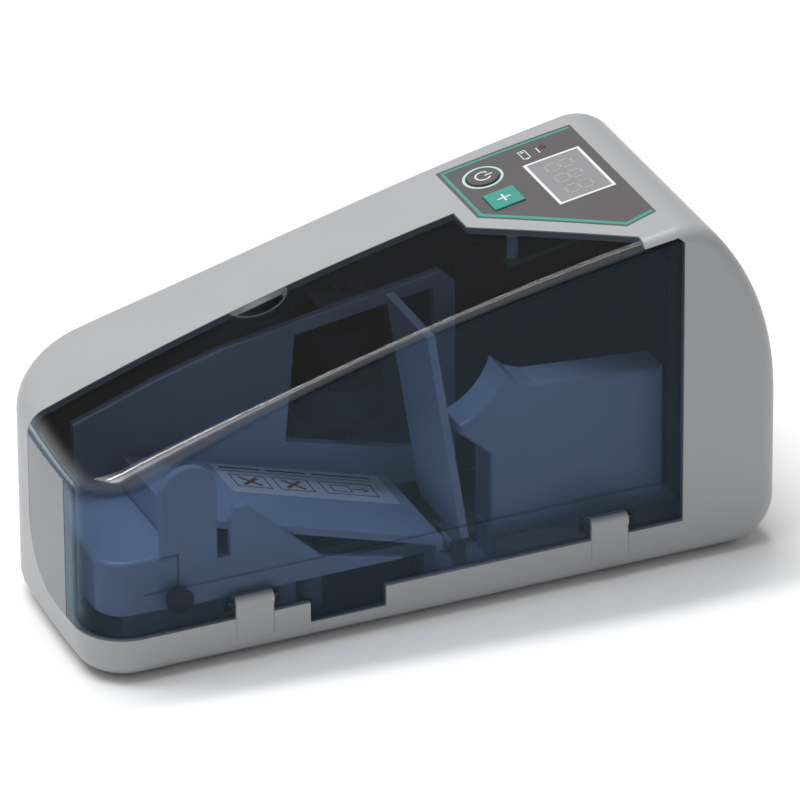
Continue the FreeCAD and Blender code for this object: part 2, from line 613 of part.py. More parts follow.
RIM = [(-98.0, 62.5), (-71.5, 71.7), (-50.0, 77.5), (-22.0, 82.2), (22.5, 89.0), (27.0, 85.0)]


def wall_rim_floor(x):
    """A line just under the rim, above the window."""
    return 66.0 + 0.2 * (x + 98.0) - 6.0


WINDOW = [(-29.3, 41.8), (-25.9, 77.1), (20.0, 83.5), (20.0, 30.5), (13.4, 29.8)]
wall_face = prism_y([(-98.0, 20.2)] + RIM + [(27.0, 18.5), (-37.9, 18.5), (-37.9, 20.2)],
                    size("wall_front"), size("wall_front") + size("wall_thick"))
rear_wall = cut("rear_wall_sharp", solid("wall_blank", wall_face),
                [solid("wall_window", prism_y(WINDOW, 0.0, 20.0))])
node("rear_wall", soften("rear_wall_soft", rear_wall, 0.8,
                         lambda middle: middle.y < size("wall_front") + 0.1
                         and middle.z > top_level(middle.x) - 26.0
                         and middle.z > wall_rim_floor(middle.x)))

FLOOR_SLOPE = 0.31


def floor_level(x):
    """Height of the sloping hopper floor."""
    return 40.0 - FLOOR_SLOPE * (x + 52.6)


FLOOR_RIGHT = 4.0
floor_outline = [(-83.0, floor_level(-83.0)), (FLOOR_RIGHT, floor_level(FLOOR_RIGHT)),
                 (FLOOR_RIGHT, 18.5), (FLOOR_RIGHT - 2.4, 18.5),
                 (FLOOR_RIGHT - 2.4, floor_level(FLOOR_RIGHT) - 1.8),
                 (-80.6, floor_level(-80.6) - 2.4), (-80.6, 20.2), (-83.0, 20.2)]
node("hopper_floor", solid("hopper_floor", prism_y(floor_outline, -36.0, size("wall_front"))))
node("instruction_label", solid("instruction_label",
     prism_y([(-55.0, floor_level(-55.0)), (0.0, floor_level(0.0)), (0.0, floor_level(0.0) + 0.15),
              (-55.0, floor_level(-55.0) + 0.15)], -14.0, 5.5)))

nose_sharp = common("nose_sharp", solid("nose_inner_plan", plan_prism(6.4)),
                    block("nose_inner_space", (-120.0, -41.0, 20.2), (36.8, 48.0, 17.8)))
nose_inner = soften("nose_inner", nose_sharp, 2.0,
                    lambda middle: middle.z > 37.9 and middle.x < -84.0 and middle.y < 6.0)
node("nose_block", cut("nose_block", nose_inner,
                       [rod("magnet_hole", (KEEPER_X, -45.0, KEEPER_Z), KEEPER_RADIUS - 0.8, 6.6, "y")]))

# ---------------------------------------------------------------- front guide
TAB_LEFT, TAB_RIGHT, TAB_CENTRE_Z = -88.6, -70.4, 57.5
tab_radius = (TAB_RIGHT - TAB_LEFT) / 2
guide_front = size("guide_front")
guide_back = guide_front + size("guide_thick")
fin_face = prism_y([(-83.0, 20.2), (-83.0, 34.0), (-66.4, 34.0), (-66.4, 46.0), (-64.6, 49.8),
                    (-61.2, 50.0), (-36.4, 26.7), (-10.0, 20.2)], guide_front, guide_back)
tab_face = prism_y([(TAB_LEFT, 38.0), (TAB_LEFT, TAB_CENTRE_Z), (TAB_RIGHT, TAB_CENTRE_Z),
                    (TAB_RIGHT, 20.2), (-83.0, 20.2), (-83.0, 38.0)], guide_front, guide_back)
tab_top = Part.makeCylinder(tab_radius, size("guide_thick"),
                            Vector((TAB_LEFT + TAB_RIGHT) / 2, guide_front, TAB_CENTRE_Z),
                            Vector(0, 1, 0))
guide_blank = join("guide_blank", [solid("fin_face", fin_face), solid("tab_face", tab_face),
                                   solid("tab_top", tab_top)])
guide_blank.Refine = True
node("front_guide", soften("front_guide", guide_blank, 0.7,
                           lambda middle: middle.z > 36.0 and middle.y < guide_front + 0.1))

# ---------------------------------------------------------------- delivery block and tongue
block_front = size("block_front")
block_back = block_front + size("block_depth")


def block_outline(inset):
    """Side outline of the delivery block, with its hollow cheek facing the hopper."""
    low, left, right = 18.5, 22.6 + inset, 80.0 - inset
    cheek = Part.Arc(Vector(27.2 + inset, 0, 71.2 - 2.4 * inset),
                     Vector(22.2 + inset, 0, 62.4 - inset),
                     Vector(12.4 + 2.6 * inset, 0, 56.0 - 0.6 * inset)).toShape()
    start = cheek.Vertexes[0].Point
    tip = cheek.Vertexes[-1].Point
    top = [Vector(31.5 + 0.5 * inset, 0, 67.2 - inset), Vector(37.0, 0, 65.0 - inset),
           Vector(right, 0, 61.2 - inset), Vector(right, 0, low), Vector(left, 0, low),
           Vector(left, 0, 44.0 + 0.3 * inset), Vector(12.2 + 2.4 * inset, 0, 53.0 - 0.2 * inset)]
    rest = Part.makePolygon([start] + top + [tip])
    return Part.Face(Part.Wire([cheek] + rest.Edges))


solid_block = block_outline(0.0).extrude(Vector(0, size("block_depth"), 0))
solid_block.translate(Vector(0, block_front, 0))
hollow = block_outline(size("block_wall")).extrude(Vector(0, size("block_depth"), 0))
hollow.translate(Vector(0, block_front + size("block_wall"), 0))
soft_block = soften("block_blank", solid("block_sharp", solid_block), 1.6,
                    lambda middle: middle.z > 19.0 and middle.y < block_front + 0.1)
node("delivery_block", cut("delivery_block", soft_block, [solid("block_hollow", hollow)]))
node("guide_tongue", solid("guide_tongue",
     prism_y([(13.4, 18.5), (19.6, 18.5), (20.2, 45.0), (15.6, 50.6)], 4.2, 7.0)))
node("dark_bulkhead", join("dark_bulkhead", [
    block("bulkhead_back", (27.0, 7.2, 18.5), (71.0, 2.4, 76.5)),
    block("bulkhead_side", (82.0, -40.6, 18.5), (2.0, 47.8, 76.5)),
]))

# ---------------------------------------------------------------- note presser
pivot = Vector(size("presser_x"), 0, size("presser_z"))
tilt = FreeCAD.Rotation(Vector(0, 1, 0), -size("presser_tilt"))
paddle = Part.makeBox(size("presser_thick"), size("presser_width"), size("presser_height"),
                      Vector(-size("presser_thick") / 2, size("presser_front"), 0))
barrel_front = size("presser_front") + 8.4
barrel = Part.makeCylinder(2.6, 7.0, Vector(0, barrel_front, 0), Vector(0, 1, 0))
presser_bore = Part.makeCylinder(1.05, 60, Vector(0, -50, 0), Vector(0, 1, 0))
foot_gap = [Part.makeBox(12, barrel_front - size("presser_front"), 8, Vector(-6, size("presser_front"), -1)),
            Part.makeBox(12, 30, 8, Vector(-6, barrel_front + 7.0, -1))]
presser_shape = paddle.cut(foot_gap[0]).cut(foot_gap[1]).fuse(barrel).cut(presser_bore)
presser_shape.Placement = FreeCAD.Placement(pivot, tilt)
node("note_presser", solid("note_presser", presser_shape.removeSplitter()))
node("presser_pin", rod("presser_pin", ("dims.presser_x", barrel_front - 2.0, "dims.presser_z"),
                        1.0, 14.4, "y"))
coil_path = Part.makeHelix(0.8, 2.4, 1.6)
coil_section = Part.Wire([Part.makeCircle(0.25, Vector(1.6, 0, 0), Vector(0, 1, 0))])
coil = Part.Wire(coil_path).makePipeShell([coil_section], True, True)
coil.rotate(Vector(), Vector(1, 0, 0), -90)
coil.translate(Vector(size("presser_x"), barrel_front + 9.4, size("presser_z")))
node("presser_spring", solid("presser_spring", coil))
lugs = []
for index, y in enumerate((barrel_front - 2.0, barrel_front + 7.4)):
    lug = block("lug_%d" % index, ("dims.presser_x - 2.2", y, 8.0), (4.4, 1.6, 8.2))
    lugs.append(cut("presser_lug_%d" % index, lug,
                    [rod("lug_bore_%d" % index, ("dims.presser_x", -50.0, "dims.presser_z"), 1.0,
                         60.0, "y")]))
node("presser_bracket", group("presser_bracket", lugs))

# ---------------------------------------------------------------- feed shaft and drive
shaft_low, shaft_high = 8.0, 84.0
node("feed_shaft", rod("feed_shaft", ("dims.shaft_x", "dims.shaft_y", shaft_low),
                       "dims.shaft_radius", shaft_high - shaft_low))
tyres = []
hubs = []
for index, low in enumerate((42.0, 62.0)):
    hub_ring = rod("hub_ring_%d" % index, ("dims.shaft_x", "dims.shaft_y", low), 10.5, 12.0)
    hub_bore = rod("hub_bore_%d" % index, ("dims.shaft_x", "dims.shaft_y", low - 1), "dims.shaft_radius", 20.0)
    hubs.append(cut("hub_%d" % index, hub_ring, [hub_bore]))
    ring = rod("tyre_ring_%d" % index, ("dims.shaft_x", "dims.shaft_y", low), "dims.tyre_radius", 12.0)
    core = rod("tyre_core_%d" % index, ("dims.shaft_x", "dims.shaft_y", low - 1), 10.5, 20.0)
    tyres.append(cut("tyre_%d" % index, ring, [core]))
node("feed_hubs", group("feed_hubs", hubs))
node("feed_tyres", group("feed_tyres", tyres))
bearings = []
for index, low in enumerate((15.0, 80.0)):
    ring = rod("bearing_ring_%d" % index, ("dims.shaft_x", "dims.shaft_y", low), 4.0, 3.5)
    bore = rod("bearing_bore_%d" % index, ("dims.shaft_x", "dims.shaft_y", low - 1),
               "dims.shaft_radius + 0.05", 10.0)
    bearings.append(cut("bearing_%d" % index, ring, [bore]))
node("shaft_bearings", group("shaft_bearings", bearings))
bracket_arm = block("bracket_arm", ("dims.shaft_x - 8", 10.0, 80.0), (16.0, 16.0, 3.5))
bracket_leg = block("bracket_leg", ("dims.shaft_x - 8", 35.8, 18.5), (16.0, 2.4, 65.0))
bracket_top = block("bracket_top", ("dims.shaft_x - 8", 26.0, 80.0), (16.0, 12.2, 3.5))
node("bearing_bracket", cut("bearing_bracket", join("bracket_blank", [bracket_arm, bracket_leg, bracket_top]),
                            [rod("bracket_seat", ("dims.shaft_x", "dims.shaft_y", 70.0), 4.0, 20.0)]))


def pulley(name, x, y, radius, bore):
    """A flanged belt pulley, turned about its own upright axis."""
    body = doc.addObject("PartDesign::Body", name)
    sketch = body.newObject("Sketcher::SketchObject", name + "_profile")
    plane = [item for item in body.Origin.OriginFeatures if item.Role == "XZ_Plane"][0]
    sketch.AttachmentSupport = [(plane, "")]
    sketch.MapMode = "FlatFace"
    low = size("belt_level") - 0.2
    high = size("belt_level") + size("belt_width") + 0.2
    flange = radius + 1.4
    ring = [(bore, low - 0.8), (flange, low - 0.8), (flange, low), (radius, low), (radius, high),
            (flange, high), (flange, high + 0.8), (bore, high + 0.8)]
    for first, second in zip(ring, ring[1:] + ring[:1]):
        sketch.addGeometry(Part.LineSegment(Vector(first[0], first[1], 0),
                                            Vector(second[0], second[1], 0)), False)
    turned = body.newObject("PartDesign::Revolution", name + "_turned")
    turned.Profile = sketch
    turned.ReferenceAxis = (sketch, ["V_Axis"])
    turned.Angle = 360.0
    body.Placement = FreeCAD.Placement(Vector(x, y, 0), FreeCAD.Rotation())
    return body


node("feed_pulley", pulley("feed_pulley", size("shaft_x"), size("shaft_y"),
                           size("feed_pulley_radius"), size("shaft_radius")))
MOTOR_SHAFT_RADIUS = 1.0
node("motor_pulley", pulley("motor_pulley", size("motor_x"), size("motor_y"),
                            size("motor_pulley_radius"), MOTOR_SHAFT_RADIUS))


def belt_loop(grow):
    """A flat loop round both pulleys, given by its gap to the pulley rims."""
    first = Vector(size("shaft_x"), size("shaft_y"), 0)
    second = Vector(size("motor_x"), size("motor_y"), 0)
    big = size("feed_pulley_radius") + grow
    small = size("motor_pulley_radius") + grow
    span = second.sub(first)
    heading = math.atan2(span.y, span.x)
    spread = math.acos((big - small) / span.Length)
    upper_big = on_circle(first, big, heading + spread)
    lower_big = on_circle(first, big, heading - spread)
    upper_small = on_circle(second, small, heading + spread)
    lower_small = on_circle(second, small, heading - spread)
    ring = [Part.Arc(upper_big, on_circle(first, big, heading + math.pi), lower_big).toShape(),
            Part.makeLine(lower_big, lower_small),
            Part.Arc(lower_small, on_circle(second, small, heading), upper_small).toShape(),
            Part.makeLine(upper_small, upper_big)]
    return Part.Face(Part.Wire(ring))


BELT_CLEARANCE = 0.1
belt_shape = belt_loop(BELT_CLEARANCE + size("belt_thick")).cut(belt_loop(BELT_CLEARANCE))
belt_shape = belt_shape.extrude(Vector(0, 0, size("belt_width")))
belt_shape.translate(Vector(0, 0, size("belt_level")))
node("drive_belt", solid("drive_belt", belt_shape))
node("motor_shaft", rod("motor_shaft", ("dims.motor_x", "dims.motor_y", 7.0), MOTOR_SHAFT_RADIUS, 14.0))
motor_low = size("deck_bottom") + size("deck_thick")
can = rod("motor_can", ("dims.motor_x", "dims.motor_y", motor_low), "dims.motor_radius",
          "dims.motor_length")
cap = rod("motor_cap", ("dims.motor_x", "dims.motor_y", motor_low + size("motor_length")), 5.0, 2.0)
motor_bore = rod("motor_bore", ("dims.motor_x", "dims.motor_y", motor_low - 1.0),
                 MOTOR_SHAFT_RADIUS + 0.05, 8.0)
node("motor", cut("motor", join("motor_blank", [can, cap]), [motor_bore]))

# ---------------------------------------------------------------- electronics
node("main_board", block("main_board", (66.0, 14.0, "dims.deck_bottom + dims.deck_thick + 3"),
                         (34.0, 1.6, 62.0)))
node("board_standoffs", group("board_standoffs", [
    block("standoff_0", (68.0, 12.4, 18.5), (4.0, 4.8, 3.0)),
    block("standoff_1", (92.0, 12.4, 18.5), (4.0, 4.8, 3.0)),
]))
chips = []
for index, (x, z, wide, high) in enumerate(((70.0, 50.0, 14.0, 14.0), (88.0, 60.0, 8.0, 6.0),
                                            (70.0, 30.0, 10.0, 7.0), (88.0, 34.0, 8.0, 12.0))):
    chips.append(block("chip_%d" % index, (x, 15.6, z), (wide, 1.8, high)))
node("board_chips", group("board_chips", chips))
node("count_emitter", block("count_emitter", (22.0, 10.0, 52.0), (4.0, 4.0, 6.0)))
node("count_receiver", block("count_receiver", (24.6, -28.0, 46.0), (3.0, 4.0, 5.0)))

# ---------------------------------------------------------------- power inlet
inlet_body = rod("inlet_body", ("dims.inlet_x", 33.0, "dims.inlet_z"), "dims.inlet_radius", 11.0, "y")
inlet_flange = rod("inlet_flange", ("dims.inlet_x", 44.0, "dims.inlet_z"), "dims.inlet_radius + 1", 0.4,
                   "y")
inlet_bore = rod("inlet_bore", ("dims.inlet_x", 35.0, "dims.inlet_z"), 2.75, 12.0, "y")
node("power_inlet", cut("power_inlet", join("inlet_blank", [inlet_body, inlet_flange]), [inlet_bore]))
node("inlet_pin", rod("inlet_pin", ("dims.inlet_x", 35.0, "dims.inlet_z"), 1.0, 8.0, "y"))

# ---------------------------------------------------------------- check and write
doc.recompute()
problems = []
for item in doc.Objects:
    if "Invalid" in item.State or "Error" in item.State:
        problems.append("%s is %s" % (item.Name, item.State))
for item in nodes:
    if item.Shape.isNull() or not item.Shape.isValid() or not item.Shape.Solids:
        problems.append("%s has no valid solid" % item.Label)
if problems:
    raise RuntimeError("; ".join(problems))
os.makedirs("parts", exist_ok=True)
for item in nodes:
    item.Shape.exportStep("parts/%s.step" % item.Label)
    print(item.Label, "solids", len(item.Shape.Solids), "volume %.1f" % item.Shape.Volume)
print("nodes", len(nodes))
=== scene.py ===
"""Looks of the portable banknote counter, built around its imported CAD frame. Metres, +Z up.

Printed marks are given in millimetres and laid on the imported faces. The camera, then the
finishes, the printed marks and the studio follow in that order.
"""
import json
import math

import bmesh
import bpy
from mathutils import Matrix, Vector
from mathutils.bvhtree import BVHTree


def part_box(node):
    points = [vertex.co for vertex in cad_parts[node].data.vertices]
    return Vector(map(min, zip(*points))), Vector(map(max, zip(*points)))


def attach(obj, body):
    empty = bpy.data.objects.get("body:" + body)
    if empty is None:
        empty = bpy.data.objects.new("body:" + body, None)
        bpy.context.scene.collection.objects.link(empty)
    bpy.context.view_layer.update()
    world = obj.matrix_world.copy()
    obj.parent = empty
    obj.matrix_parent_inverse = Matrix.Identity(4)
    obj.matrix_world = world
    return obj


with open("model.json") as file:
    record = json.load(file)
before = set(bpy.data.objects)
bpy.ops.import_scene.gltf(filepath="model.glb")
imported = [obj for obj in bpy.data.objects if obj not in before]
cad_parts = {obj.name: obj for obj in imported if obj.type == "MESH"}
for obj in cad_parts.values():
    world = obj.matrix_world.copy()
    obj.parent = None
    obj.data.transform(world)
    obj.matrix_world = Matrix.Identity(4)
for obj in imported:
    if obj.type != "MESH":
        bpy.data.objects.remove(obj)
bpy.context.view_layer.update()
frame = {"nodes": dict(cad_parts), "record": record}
NODES = frame["nodes"]
MM = 0.001

# ---------------------------------------------------------------- camera
AZIMUTH, ELEVATION, ROLL = math.radians(-23.4), math.radians(28.5), math.radians(-0.38)
DISTANCE = 3.0303
LENS, SENSOR = 450.0, 36.0
LOOK_AT = Vector((0.0, 0.0, 0.050))
AIM_RIGHT, AIM_UP = 0.00515, 0.00265


def make_camera():
    back = Vector((math.sin(AZIMUTH) * math.cos(ELEVATION), -math.cos(AZIMUTH) * math.cos(ELEVATION),
                   math.sin(ELEVATION)))
    level = Vector((math.cos(AZIMUTH), math.sin(AZIMUTH), 0.0))
    upright = back.cross(level)
    right = math.cos(ROLL) * level + math.sin(ROLL) * upright
    up = math.cos(ROLL) * upright - math.sin(ROLL) * level
    target = LOOK_AT + right * AIM_RIGHT + up * AIM_UP
    data = bpy.data.cameras.new("camera")
    data.lens, data.sensor_width = LENS, SENSOR
    data.clip_start, data.clip_end = 0.1, 20.0
    camera = bpy.data.objects.new("camera", data)
    bpy.context.scene.collection.objects.link(camera)
    camera.matrix_world = Matrix.Translation(target + back * DISTANCE) @ Matrix(
        (right, up, back)).transposed().to_4x4()
    bpy.context.scene.camera = camera


# ---------------------------------------------------------------- node helpers
class Paint:
    """A material's node tree, with short ways to add nodes and links."""

    def __init__(self, name):
        self.material = bpy.data.materials.new(name)
        self.material.use_nodes = True
        self.tree = self.material.node_tree
        self.tree.nodes.clear()
        self.output = self.add("ShaderNodeOutputMaterial")
        place = self.add("ShaderNodeTexCoord")
        self.coords, self.normals = place.outputs["Object"], place.outputs["Normal"]

    def add(self, kind, **settings):
        node = self.tree.nodes.new(kind)
        for name, value in settings.items():
            setattr(node, name, value)
        return node

    def link(self, start, end):
        self.tree.links.new(start, end)

    def feed(self, socket, value):
        if isinstance(value, bpy.types.NodeSocket):
            self.link(value, socket)
        else:
            socket.default_value = value

    def noise(self, scale, detail=3.0, roughness=0.55, stretch=None):
        node = self.add("ShaderNodeTexNoise")
        node.inputs["Scale"].default_value = scale
        node.inputs["Detail"].default_value = detail
        node.inputs["Roughness"].default_value = roughness
        vector = self.coords
        if stretch:
            mapping = self.add("ShaderNodeMapping")
            mapping.inputs["Scale"].default_value = stretch
            self.link(self.coords, mapping.inputs["Vector"])
            vector = mapping.outputs["Vector"]
        self.link(vector, node.inputs["Vector"])
        return node.outputs["Fac"]

    def spread(self, value, low, high, source=(0.3, 0.7)):
        """Map a value's range onto low..high."""
        node = self.add("ShaderNodeMapRange")
        self.link(value, node.inputs["Value"])
        node.inputs["From Min"].default_value, node.inputs["From Max"].default_value = source
        node.inputs["To Min"].default_value, node.inputs["To Max"].default_value = low, high
        return node.outputs["Result"]

    def tint(self, factor, first, second):
        node = self.add("ShaderNodeMix", data_type="RGBA")
        self.feed(node.inputs["Factor"], factor)
        self.feed(node.inputs[6], (*first, 1.0) if isinstance(first, tuple) else first)
        self.feed(node.inputs[7], (*second, 1.0) if isinstance(second, tuple) else second)
        return node.outputs[2]

    def bump(self, height, strength, distance):
        node = self.add("ShaderNodeBump")
        node.inputs["Strength"].default_value = strength
        node.inputs["Distance"].default_value = distance
        self.link(height, node.inputs["Height"])
        return node.outputs["Normal"]

    def principled(self, **values):
        node = self.add("ShaderNodeBsdfPrincipled")
        for name, value in values.items():
            self.feed(node.inputs[name.replace("_", " ")], value)
        self.link(node.outputs[0], self.output.inputs["Surface"])
        return node


def shade(colour, factor):
    return tuple(min(1.0, channel * factor) for channel in colour)


def plastic(name, colour, rough=0.42, texture=0.12, grain=2600.0, spread=0.05, coat=0.0):
    """Moulded plastic: faint colour drift, uneven gloss and a fine moulded grain."""
    paint = Paint(name)
    drift = paint.noise(28.0, 4.0)
    colour_out = paint.tint(drift, shade(colour, 1.0 - spread), shade(colour, 1.0 + spread))
    gloss = paint.spread(paint.noise(60.0, 5.0), rough - 0.02, rough + 0.03)
    fine = paint.noise(grain, 2.0)
    values = {"Base_Color": colour_out, "Roughness": gloss}
    if texture:
        values["Normal"] = paint.bump(fine, texture, 0.00006)
    if coat:
        values["Coat_Weight"] = coat
        values["Coat_Roughness"] = 0.12
    paint.principled(**values)
    return paint.material


def metal(name, colour, rough=0.3, stretch=(1.0, 1.0, 12.0)):
    """Ground or turned metal with fine drawn lines."""
    paint = Paint(name)
    lines = paint.noise(900.0, 4.0, 0.6, stretch)
    colour_out = paint.tint(lines, shade(colour, 0.85), shade(colour, 1.08))
    paint.principled(Base_Color=colour_out, Metallic=1.0,
                     Roughness=paint.spread(lines, rough - 0.08, rough + 0.12),
                     Normal=paint.bump(lines, 0.15, 0.00003))
    return paint.material


def rubber(name, colour):
    """Matt rubber with a fine speckled surface."""
    paint = Paint(name)
    speck = paint.noise(1500.0, 4.0)
    paint.principled(Base_Color=paint.tint(speck, shade(colour, 0.7), shade(colour, 1.4)),
                     Roughness=paint.spread(speck, 0.7, 0.9),
                     Normal=paint.bump(speck, 0.4, 0.00008))
    return paint.material


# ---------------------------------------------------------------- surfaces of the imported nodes
def surface_of(*names):
    """Trees of the named nodes' faces, to lay printed marks on."""
    trees = []
    for name in names:
        mesh = NODES[name].data
        trees.append(BVHTree.FromPolygons([vertex.co for vertex in mesh.vertices],
                                          [tuple(face.vertices) for face in mesh.polygons]))
    return trees


def level_at(trees, x, y):
    """Height of the highest face of the trees under a point."""
    heights = []
    for tree in trees:
        place = tree.ray_cast(Vector((x, y, 0.3)), Vector((0.0, 0.0, -1.0)))[0]
        if place:
            heights.append(place.z)
    return max(heights) if heights else None


# The finger notch is a round dip in the cover; a painted highlight raises its reflection above the
# rest, though it is the same plastic.
NOTCH_X, NOTCH_Y, NOTCH_RADIUS, NOTCH_PROBE_Y = -0.038, 0.011, 0.0105, 0.009
NOTCH_LOW = level_at(surface_of("clear_cover"), NOTCH_X, NOTCH_PROBE_Y)
NOTCH_CENTRE = (NOTCH_X, NOTCH_Y,
                NOTCH_LOW + math.sqrt(NOTCH_RADIUS ** 2 - (NOTCH_Y - NOTCH_PROBE_Y) ** 2))
# Painted highlight: the reflection weight laid in the finger notch, fading out between these radii.
NOTCH_PAINTED_HIGHLIGHT, NOTCH_EDGE = 0.38, (0.0107, 0.0111)
GLANCE_POWER = 5.0
# Painted highlight: the cover's reflection is raised up to ten times on faces that slope like its
# front edge.
EDGE_LEAN, EDGE_PAINTED_HIGHLIGHT_GAIN, EDGE_REACH = 0.60, 10.0, (0.05, 0.32)
# Painted shade: the cover's upward faces get a darker, warmer tint than its sides, though the
# plastic is the same all over.
TOP_PAINTED_SHADE_TINT = (0.44, 0.46, 0.50)


def smoked(name, tint, shine=0.04, index=1.29):
    """Clear smoked plastic: a tint over what is behind, darker and warmer on upward faces as painted
    shade, with reflections painted blue on upright faces and warm on upward ones, and painted
    highlights raising the reflection along its sloping edges and in the finger notch."""
    paint = Paint(name)
    cloud = paint.noise(14.0, 3.0)
    clear = paint.add("ShaderNodeBsdfTransparent")
    facing = paint.add("ShaderNodeSeparateXYZ")
    paint.link(paint.normals, facing.inputs[0])
    upward_painted_shade_and_reflection_mask = paint.spread(facing.outputs[2], 0.0, 1.0, (0.2, 0.8))
    side_tint = paint.tint(cloud, shade(tint, 0.95), shade(tint, 1.05))
    top_painted_shade_tint = paint.tint(cloud, shade(TOP_PAINTED_SHADE_TINT, 0.95), shade(TOP_PAINTED_SHADE_TINT, 1.05))
    # Painted shade: upward faces take the darker, warmer top tint in place of the side tint.
    paint.link(paint.tint(upward_painted_shade_and_reflection_mask, side_tint, top_painted_shade_tint), clear.inputs["Color"])
    gloss_with_painted_reflection_tint = paint.add("ShaderNodeBsdfGlossy")
    # Painted reflection: the reflection is tinted blue on upright faces and warm on upward ones.
    paint.link(paint.tint(upward_painted_shade_and_reflection_mask, (0.66, 0.85, 1.0), (0.93, 0.90, 0.87)), gloss_with_painted_reflection_tint.inputs["Color"])
    paint.link(paint.spread(paint.noise(50.0, 4.0), shine, shine + 0.06), gloss_with_painted_reflection_tint.inputs["Roughness"])
    head_on = ((index - 1.0) / (index + 1.0)) ** 2
    glance = paint.add("ShaderNodeLayerWeight")
    glance.inputs["Blend"].default_value = 0.5
    rise = paint.add("ShaderNodeMath", operation="POWER")
    paint.link(glance.outputs["Facing"], rise.inputs[0])
    rise.inputs[1].default_value = GLANCE_POWER
    edge = paint.add("ShaderNodeMath", operation="MULTIPLY_ADD")
    paint.link(rise.outputs[0], edge.inputs[0])
    edge.inputs[1].default_value = 1.0 - head_on
    edge.inputs[2].default_value = head_on
    # Painted highlight: from here the reflection is raised on faces that slope like the front edge.
    lean = paint.add("ShaderNodeMath", operation="SUBTRACT")
    paint.link(facing.outputs[2], lean.inputs[0])
    lean.inputs[1].default_value = EDGE_LEAN
    away = paint.add("ShaderNodeMath", operation="ABSOLUTE")
    paint.link(lean.outputs[0], away.inputs[0])
    gloss_with_painted_edge_highlight = paint.add("ShaderNodeMath", operation="MULTIPLY")
    paint.link(edge.outputs[0], gloss_with_painted_edge_highlight.inputs[0])
    paint.link(paint.spread(away.outputs[0], EDGE_PAINTED_HIGHLIGHT_GAIN, 1.0, EDGE_REACH), gloss_with_painted_edge_highlight.inputs[1])
    # Painted highlight: the reflection is raised in the finger notch, by distance from its centre.
    reach = paint.add("ShaderNodeVectorMath", operation="DISTANCE")
    paint.link(paint.coords, reach.inputs[0])
    reach.inputs[1].default_value = NOTCH_CENTRE
    gloss_and_painted_highlight = paint.add("ShaderNodeMath", operation="MAXIMUM")
    paint.link(gloss_with_painted_edge_highlight.outputs[0], gloss_and_painted_highlight.inputs[0])
    paint.link(paint.spread(reach.outputs["Value"], NOTCH_PAINTED_HIGHLIGHT, 0.0, NOTCH_EDGE),
               gloss_and_painted_highlight.inputs[1])
    mix = paint.add("ShaderNodeMixShader")
    paint.link(gloss_and_painted_highlight.outputs[0], mix.inputs[0])
    paint.link(clear.outputs[0], mix.inputs[1])
    paint.link(gloss_with_painted_reflection_tint.outputs[0], mix.inputs[2])
    paint.link(mix.outputs[0], paint.output.inputs["Surface"])
    return paint.material


# ---------------------------------------------------------------- finishes by record slot
FINISH = {
    "housing_plastic": plastic("housing_plastic", (0.35, 0.355, 0.365), 0.38),
    "panel_plastic": plastic("panel_plastic", (0.19, 0.205, 0.23), 0.40),
    "inner_plastic": plastic("inner_plastic", (0.42, 0.50, 0.63), 0.30, 0.05, spread=0.02, coat=0.5),
    "dark_plastic": plastic("dark_plastic", (0.012, 0.014, 0.020), 0.6, 0.0),
    "black_plastic": plastic("black_plastic", (0.012, 0.012, 0.013), 0.4),
    "smoked_clear": smoked("smoked_clear", (0.60, 0.645, 0.71)),
    "display_glass": plastic("display_glass", (0.25, 0.255, 0.26), 0.22),
    "silver_trim": plastic("silver_trim", (0.70, 0.71, 0.72), 0.3, 0.05),
    "overlay_print": plastic("overlay_print", (0.085, 0.08, 0.08), 0.5, 0.12),
    "key_dark": plastic("key_dark", (0.085, 0.08, 0.08), 0.45, 0.12),
    "key_teal": plastic("key_teal", (0.045, 0.27, 0.23), 0.4),
    "led_red": plastic("led_red", (0.12, 0.035, 0.03), 0.2),
    "board_green": plastic("board_green", (0.01, 0.12, 0.05), 0.3),
    "module_grey": plastic("module_grey", (0.16, 0.16, 0.17), 0.4),
    "chip_black": plastic("chip_black", (0.012, 0.012, 0.012), 0.5),
    "zinc_steel": metal("zinc_steel", (0.60, 0.60, 0.61), 0.32),
    "bright_steel": metal("bright_steel", (0.70, 0.70, 0.71), 0.2),
    "bearing_brass": metal("bearing_brass", (0.70, 0.50, 0.22), 0.3),
    "foot_rubber": rubber("foot_rubber", (0.03, 0.03, 0.03)),
    "tyre_rubber": rubber("tyre_rubber", (0.02, 0.02, 0.022)),
    "cell_wrap": plastic("cell_wrap", (0.06, 0.10, 0.18), 0.25),
    "keeper_dark": plastic("keeper_dark", (0.03, 0.03, 0.035), 0.4),
    "label_film": plastic("label_film", (0.72, 0.74, 0.76), 0.5),
}


def dress(item, finish):
    """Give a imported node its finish."""
    item.data.materials.clear()
    item.data.materials.append(finish)


for part in frame["record"]["subparts"]:
    dress(NODES[part["node"]], FINISH[part["material_slot"]])
PIN_STEEL = metal("pin_steel", (0.10, 0.10, 0.11), 0.45)
dress(NODES["hinge_pin_left"], PIN_STEEL)
dress(NODES["hinge_pin_right"], PIN_STEEL)


# ---------------------------------------------------------------- printed marks
INK_LIFT, INK_SINK = 0.00005, 0.00002
INK_STEP = 0.0015


